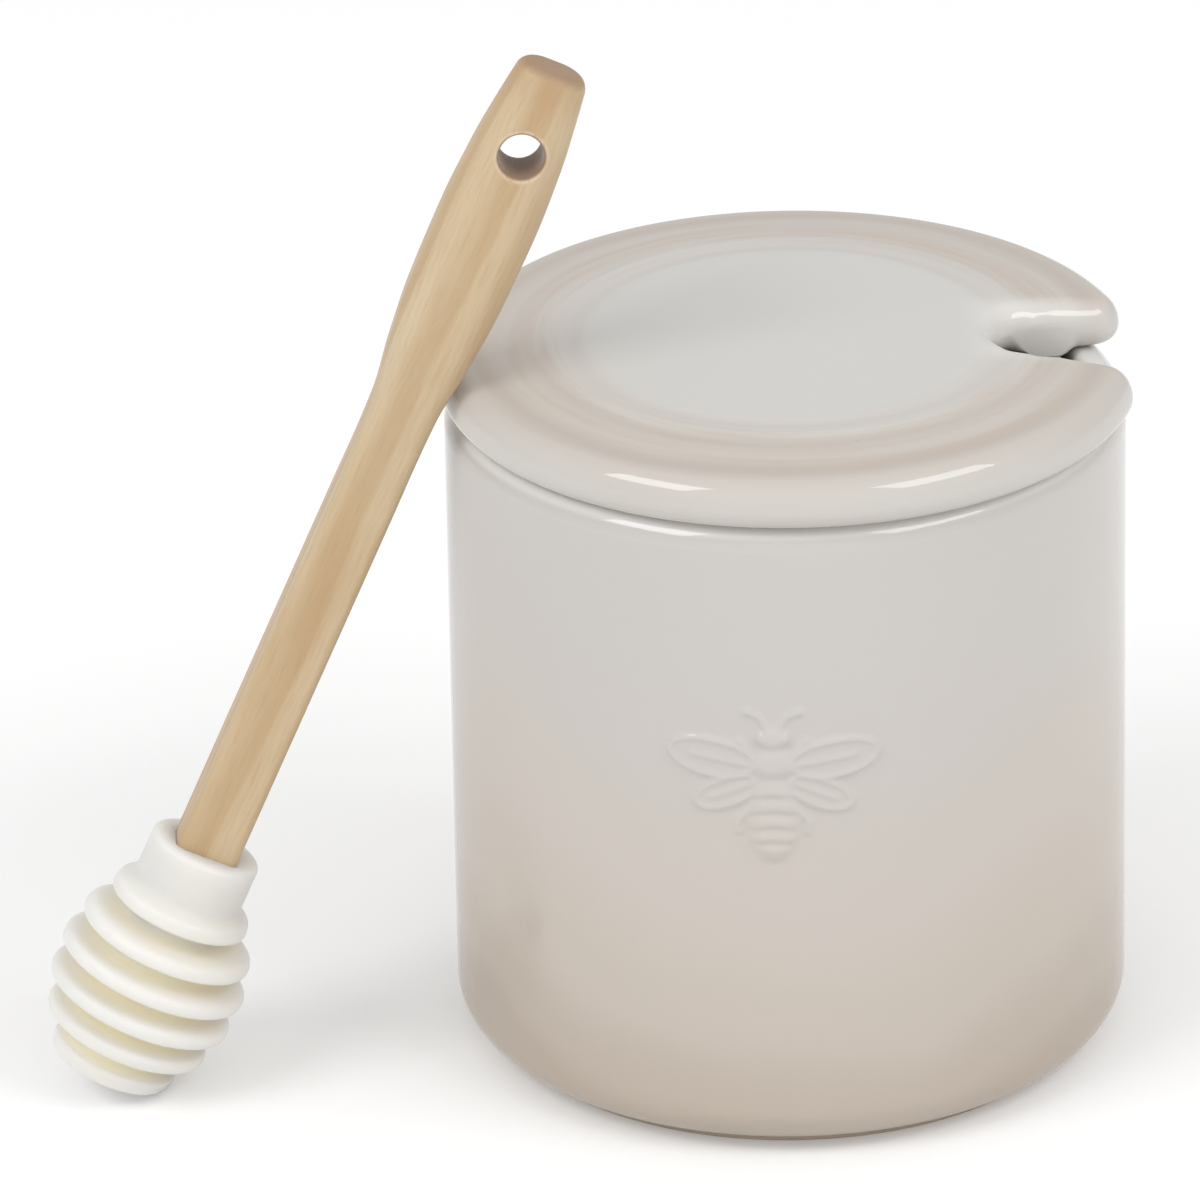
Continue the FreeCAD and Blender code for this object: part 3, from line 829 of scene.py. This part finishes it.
def make_head():
    """Fins from their tree, drawn on to the domed tip below and to the collar and its socket above."""
    head = bpy.data.objects.new("dipper_head_fins", bpy.data.meshes.new("dipper_head_fins"))
    bpy.context.collection.objects.link(head)
    grooves = len(fin_shares) - 1
    grown(head, make_fin_tree(), {
        "Fins": len(fin_shares), "Fin Pitch": fin_pitch * mm, "Widest Radius": fin_radius * mm,
        "Groove Depth": groove_depth * mm, "Least Core Radius": core_least * mm,
        "Rim Fullness": rim_fullness, "First Height": cap_height * mm,
        "Rows": fin_rows * grooves + 1, "Around": fin_columns + 1, "Silicone": make_silicone()})
    shell = bmesh.new()
    shell.from_mesh(head.data)
    top_fin = cap_height + fin_pitch * grooves
    middle = (cap_height + top_fin) / 2 * mm
    open_edges = [e for e in shell.edges if e.is_boundary]
    low = [e for e in open_edges if e.verts[0].co.z < middle]
    high = [e for e in open_edges if e.verts[0].co.z > middle]

    tip_rim = fin_radius * fin_shares[0] - fin_rim
    dome_radius = (tip_rim ** 2 + cap_dome ** 2) / (2 * cap_dome)
    for r, z in quarter(tip_rim, cap_height, fin_rim, 0, -80, 9)[1:]:
        low = next_ring(shell, low, r, z)
    for share in (0.97, 0.85, 0.7, 0.5, 0.3, 0.12):
        r = tip_rim * share
        low = next_ring(shell, low, r, dome_radius - math.sqrt(dome_radius ** 2 - r ** 2))
    close_ring(shell, low, 0.0)

    top_rim = fin_radius * fin_shares[-1] - fin_rim
    collar = quarter(top_rim, top_fin, fin_rim, 0, flare_start, 7)[1:]
    flare_top = top_fin + fin_rim + flare_rise
    reach, rise = collar[-1][0] - collar_radius, flare_top - collar[-1][1]
    collar += [(collar_radius + reach * left ** flare_bend, flare_top - rise * left)
               for left in 1 - np.linspace(0, 1, 13)[1:]]
    collar += [(collar_radius, z) for z in np.linspace(flare_top, collar_height - collar_round, 5)[1:]]
    collar += quarter(collar_radius - collar_round, collar_height - collar_round, collar_round, 0, 90, 8)[1:]
    for r, z in collar:
        high = next_ring(shell, high, r, z)
    socket_lip = ((0.55, 0.0), (0.3, 0.08), (0.1, 0.25), (0.0, 0.55))
    for grow, drop in socket_lip + ((0.0, 6.0), (0.0, 12.0), (0.0, socket_depth)):
        spare = socket_clearance + grow
        mouth = oblong_reach(shaft_width + 2 * spare, shaft_thickness + 2 * spare, shaft_corner + spare)
        high = next_ring(shell, high, mouth, collar_height - drop)
    close_ring(shell, high, collar_height - socket_depth)
    settle(shell, head.data)
    head.data.transform(dipper_stand)
    return head


head = make_head()
head.visible_glossy = False  # the photo shows no dipper mirrored in the glaze
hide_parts("dipper_head")
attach(head, "dipper_head")


# Dipper handle: a stick of pale close-grained wood, sawn to shape, sanded round and oiled. Its plain end is
# the tenon in the silicone head; the other swells to a flattened grip with a drilled hole to hang it by.
grip_width = 14.6
grip_thickness = 10.4
grip_places = (0.44, 0.5, 0.57, 0.64, 0.72, 0.81, 0.89, 0.95, 1.0)
grip_swells = (0.0, 0.0, 0.1, 0.57, 0.92, 1.0, 0.83, 0.5, 0.15)
corner_shares = (0.16, 0.2, 0.3, 0.38, 0.42, 0.44, 0.46, 0.46, 0.46)
end_round = 1.8
least_corner = 0.25
hole_radius = 3.3
hole_edge = 0.7
socket_end_gap = 0.2
handle_top = collar_height + handle_length
hole_height = handle_top - hole_from_end


def oblong_ring(width, thickness, corner, height):
    """Points of a round-cornered oblong at a height, as many on each corner and side whatever its size."""
    x, y = width / 2 - corner, thickness / 2 - corner
    arcs = []
    for middle_x, middle_y, first in ((x, y, 0), (-x, y, 90), (-x, -y, 180), (x, -y, 270)):
        turns = np.radians(np.linspace(first, first + 90, 13))
        arcs.append(np.column_stack([middle_x + corner * np.cos(turns), middle_y + corner * np.sin(turns)]))
    points = []
    for here, ahead in zip(arcs, arcs[1:] + arcs[:1]):
        points += [*here, *(here[-1] + (ahead[0] - here[-1]) * share for share in (0.2, 0.4, 0.6, 0.8))]
    return np.column_stack([points, np.full(len(points), height)])


def handle_size(height):
    """Width, thickness and corner rounding of the handle at a height above the tip."""
    share = (height - collar_height) / handle_length
    swell = float(fair(share, (-1.0,) + grip_places, (0.0,) + grip_swells))
    width = shaft_width + (grip_width - shaft_width) * swell
    thickness = shaft_thickness + (grip_thickness - shaft_thickness) * swell
    corner = thickness * float(fair(share, (-1.0,) + grip_places, (corner_shares[0],) + corner_shares))
    return width, thickness, corner


def handle_ring(height, inset=0.0, shrink=1.0):
    """Ring of the handle at a height, set in from its side and shrunk towards its middle."""
    width, thickness, corner = handle_size(height)
    return oblong_ring((width - 2 * inset) * shrink, (thickness - 2 * inset) * shrink,
                       max(corner - inset, least_corner) * shrink, height)


def capped(name, rings):
    """Closed piece drawn through rings, with a flat face at either end."""
    count = len(rings[0])
    last = (len(rings) - 1) * count
    faces = turned_faces(len(rings), count) + [tuple(range(count)), tuple(range(last, last + count))]
    return solid_piece(name, np.concatenate(rings), faces)


def make_stick():
    """Handle without its hole: tenon, shaft, swelling grip and rounded end."""
    foot = collar_height - socket_depth + socket_end_gap
    tenon_end = ((3.0, 0.0), (1.6, 0.0), (0.5, 0.0), (0.15, 0.15), (0.0, 0.5))
    rings = [handle_ring(foot + rise, inset) for inset, rise in tenon_end]
    rings += [handle_ring(height) for height in np.linspace(foot + 1.5, collar_height + 55, 24)]
    rings += [handle_ring(height) for height in np.linspace(collar_height + 56.2, handle_top - end_round, 62)]
    for turn in np.radians(np.linspace(9, 90, 10)):
        height = handle_top - end_round * (1 - math.sin(turn))
        rings.append(handle_ring(height, end_round * (1 - math.cos(turn))))
    rings += [handle_ring(handle_top, end_round, shrink) for shrink in (0.7, 0.4, 0.12)]
    return capped("dipper_handle_stick", rings)


def make_hole():
    """Drill of the hanging hole, flared at both faces so that its edges come out eased."""
    half = float(handle_size(hole_height)[1]) / 2
    side = [(hole_radius, 0.0), (hole_radius, half * 0.4)]
    side += [(hole_radius + hole_edge - hole_edge * math.cos(t), half - hole_edge + hole_edge * math.sin(t))
             for t in np.radians(np.linspace(0, 80, 8))]
    side += [(hole_radius + hole_edge + 1.6, half + 0.9)]
    path = [(r, -y) for r, y in reversed(side[1:])] + side
    turns = np.linspace(0, 2 * math.pi, 73)[:-1]
    rings = [np.column_stack([r * np.cos(turns), np.full(len(turns), y), hole_height + r * np.sin(turns)])
             for r, y in path]
    return capped("hole_drill", rings)


def make_wood():
    """Oiled pale wood: growth rings about a far pith, fine fibres along it, darker end grain and hole."""
    material, tree, shader = finish("oiled_wood", {"IOR": 1.45})
    stick = add(tree, "ShaderNodeMapping", {
        "Vector": object_place(tree), "Location": dipper_tip, "Rotation": dipper_stand.to_euler(),
    }, vector_type="TEXTURE").outputs["Vector"]
    parts = parts_of(tree, stick)

    def grain(across, along, detail, roughness):
        lie = add(tree, "ShaderNodeMapping", {"Vector": stick, "Scale": (across, across, along)})
        return noise(tree, lie.outputs["Vector"], 1.0, detail, roughness)

    wander = grain(55.0, 9.0, 2.0, 0.5)
    broad = grain(130.0, 16.0, 2.0, 0.5)
    fibre = grain(2400.0, 160.0, 3.0, 0.6)
    from_pith = length_of(tree, vector_of(
        tree, calc(tree, "ADD", parts["X"], 21.0 * mm), calc(tree, "ADD", parts["Y"], -27.0 * mm)))
    growth = calc(tree, "MULTIPLY_ADD", wander, 9.0 * mm, from_pith)
    year = calc(tree, "FRACT", times(tree, growth, 1 / (4.2 * mm)))
    late = times(tree, spread(tree, year, 0.3, 0.8, soft=True),
                 spread(tree, year, 0.88, 1.0, 1.0, 0.0, soft=True))
    tone = colours(tree, spread(tree, broad, 0.28, 0.72), (
        (0.0, paint(197, 168, 130)), (0.45, paint(206, 183, 149)), (1.0, paint(212, 194, 164))))
    tone = blend(tree, times(tree, late, 0.42), tone, paint(184, 150, 108))
    tone = blend(tree, spread(tree, fibre, 0.45, 0.75, 0.0, 0.32), tone, paint(176, 146, 110))
    near_end = spread(tree, parts["Z"], (handle_top - 9.0) * mm, handle_top * mm, 0.0, 0.4, soft=True)
    tone = blend(tree, near_end, tone, paint(178, 142, 102))
    end_grain = spread(tree, parts["Z"], (handle_top - 1.7) * mm, (handle_top - 0.1) * mm, soft=True)
    tone = blend(tree, times(tree, end_grain, 0.75), tone, paint(156, 127, 104))
    from_hole = length_of(tree, vector_of(
        tree, parts["X"], calc(tree, "SUBTRACT", parts["Z"], hole_height * mm)))

    def about_hole(full, none):
        inner, outer = (hole_radius + full) * mm, (hole_radius + none) * mm
        return spread(tree, from_hole, inner, outer, 1.0, 0.0, soft=True)

    torn = times(tree, spread(tree, fibre, 0.4, 0.55, soft=True), about_hole(0.45, 0.9))
    tone = blend(tree, times(tree, torn, 0.6), tone, paint(222, 205, 180))
    tone = blend(tree, times(tree, about_hole(0.1, 0.5), 0.9), tone, paint(140, 110, 86))
    dress(tree, shader, tone, spread(tree, fibre, 0.35, 0.7, 0.42, 0.58), fibre, 0.35, 0.06)
    return material


handle = make_stick()
carve(handle, make_hole(), "DIFFERENCE")
handle.data.set_sharp_from_angle(angle=math.radians(40))
handle.data.transform(dipper_stand)
handle.data.materials.clear()
handle.data.materials.append(make_wood())
handle.visible_glossy = False
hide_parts("dipper_handle")
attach(handle, "dipper_handle")


# Studio: a pale matt table that the pot and the dipper stand on, two soft boxes high on either side of the
# camera, and soft light from all round that is strongest from the front.
box_rise = math.radians(45)
box_distance, box_height, box_power = 2.0, 0.7, 10.0


def seen_rays(tree):
    """One for what the camera sees, straight, in a gloss or through a clear body, else nought."""
    rays = add(tree, "ShaderNodeLightPath").outputs
    glossy = calc(tree, "MAXIMUM", rays["Is Glossy Ray"], rays["Is Transmission Ray"])
    return calc(tree, "MAXIMUM", rays["Is Camera Ray"], glossy)


def make_floor():
    """Pale matt table top, whitened a little where it is seen."""
    plane = bpy.data.meshes.new("table_top")
    reach = 6.0
    corners = [(-reach, -reach, 0), (reach, -reach, 0), (reach, reach, 0), (-reach, reach, 0)]
    plane.from_pydata(corners, [], [(0, 1, 2, 3)])
    table = bpy.data.objects.new("table_top", plane)
    bpy.context.collection.objects.link(table)
    material, tree, shader = finish("table_paint", {
        "Base Color": (0.86, 0.86, 0.86, 1), "Roughness": 0.9, "Specular IOR Level": 0.0,
        "Emission Color": (1, 1, 1, 1)})
    tree.links.new(spread(tree, seen_rays(tree), 0.0, 1.0, 0.0, 0.18), shader.inputs["Emission Strength"])
    table.data.materials.append(material)
    return table


def soft_box(name, bearing, width):
    """Rectangular soft box that looks at the middle of the pot from a bearing in degrees."""
    lamp = bpy.data.lights.new(name, "AREA")
    lamp.shape = "RECTANGLE"
    lamp.size, lamp.size_y, lamp.energy = width, box_height, box_power
    turn, level = math.radians(bearing), math.cos(box_rise)
    aim = Vector((math.sin(turn) * level, -math.cos(turn) * level, math.sin(box_rise)))
    facing = aim.to_track_quat("Z", "Y").to_matrix().to_4x4()
    box = bpy.data.objects.new(name, lamp)
    box.matrix_world = Matrix.Translation(aim * box_distance + Vector((0, 0, 60.0 * mm))) @ facing
    bpy.context.collection.objects.link(box)


make_floor()
soft_box("soft_box_left", -52.5, 0.9)
soft_box("soft_box_right", 57, 1.1)

world = bpy.data.worlds.new("even_light")
world.use_nodes = True
sky_tree = world.node_tree
sky_tree.nodes.clear()
way = parts_of(sky_tree, add(sky_tree, "ShaderNodeTexCoord").outputs["Generated"])
strength = spread(sky_tree, way["Y"], -1.0, 0.6, 0.85, 0.6, soft=True)
sky = add(sky_tree, "ShaderNodeBackground", {"Color": (1, 1, 1, 1), "Strength": strength})
add(sky_tree, "ShaderNodeOutputWorld", {"Surface": sky.outputs["Background"]})
bpy.context.scene.world = world


# Camera: a long lens that looks down on the pot and the dipper at about 25 degrees, as the photograph does.
# Its place and focal length come from the ellipses of the lid and the foot.
camera_place = Vector((0.0, -1.5075, 0.7767))
camera_pitch, camera_yaw, camera_roll = (math.radians(a) for a in (25.19, -1.05, -1.08))
focal_pixels, frame_pixels, sensor_width = 11274, 1200, 36.0
forward = Vector((math.sin(camera_yaw) * math.cos(camera_pitch),
                  math.cos(camera_yaw) * math.cos(camera_pitch), -math.sin(camera_pitch)))
level_right = Vector((math.cos(camera_yaw), -math.sin(camera_yaw), 0))
level_up = level_right.cross(forward)
right = level_right * math.cos(camera_roll) + level_up * math.sin(camera_roll)
upward = level_up * math.cos(camera_roll) - level_right * math.sin(camera_roll)
camera = bpy.data.objects.new("camera", bpy.data.cameras.new("camera"))
camera.data.sensor_fit = "HORIZONTAL"
camera.data.sensor_width = sensor_width
camera.data.lens = focal_pixels / frame_pixels * sensor_width
camera.data.clip_start, camera.data.clip_end = 0.05, 50.0
camera_turn = Matrix((right, upward, -forward)).transposed().to_4x4()
camera.matrix_world = Matrix.Translation(camera_place) @ camera_turn
bpy.context.collection.objects.link(camera)
bpy.context.scene.camera = camera
bpy.context.scene.view_settings.view_transform = "Standard"
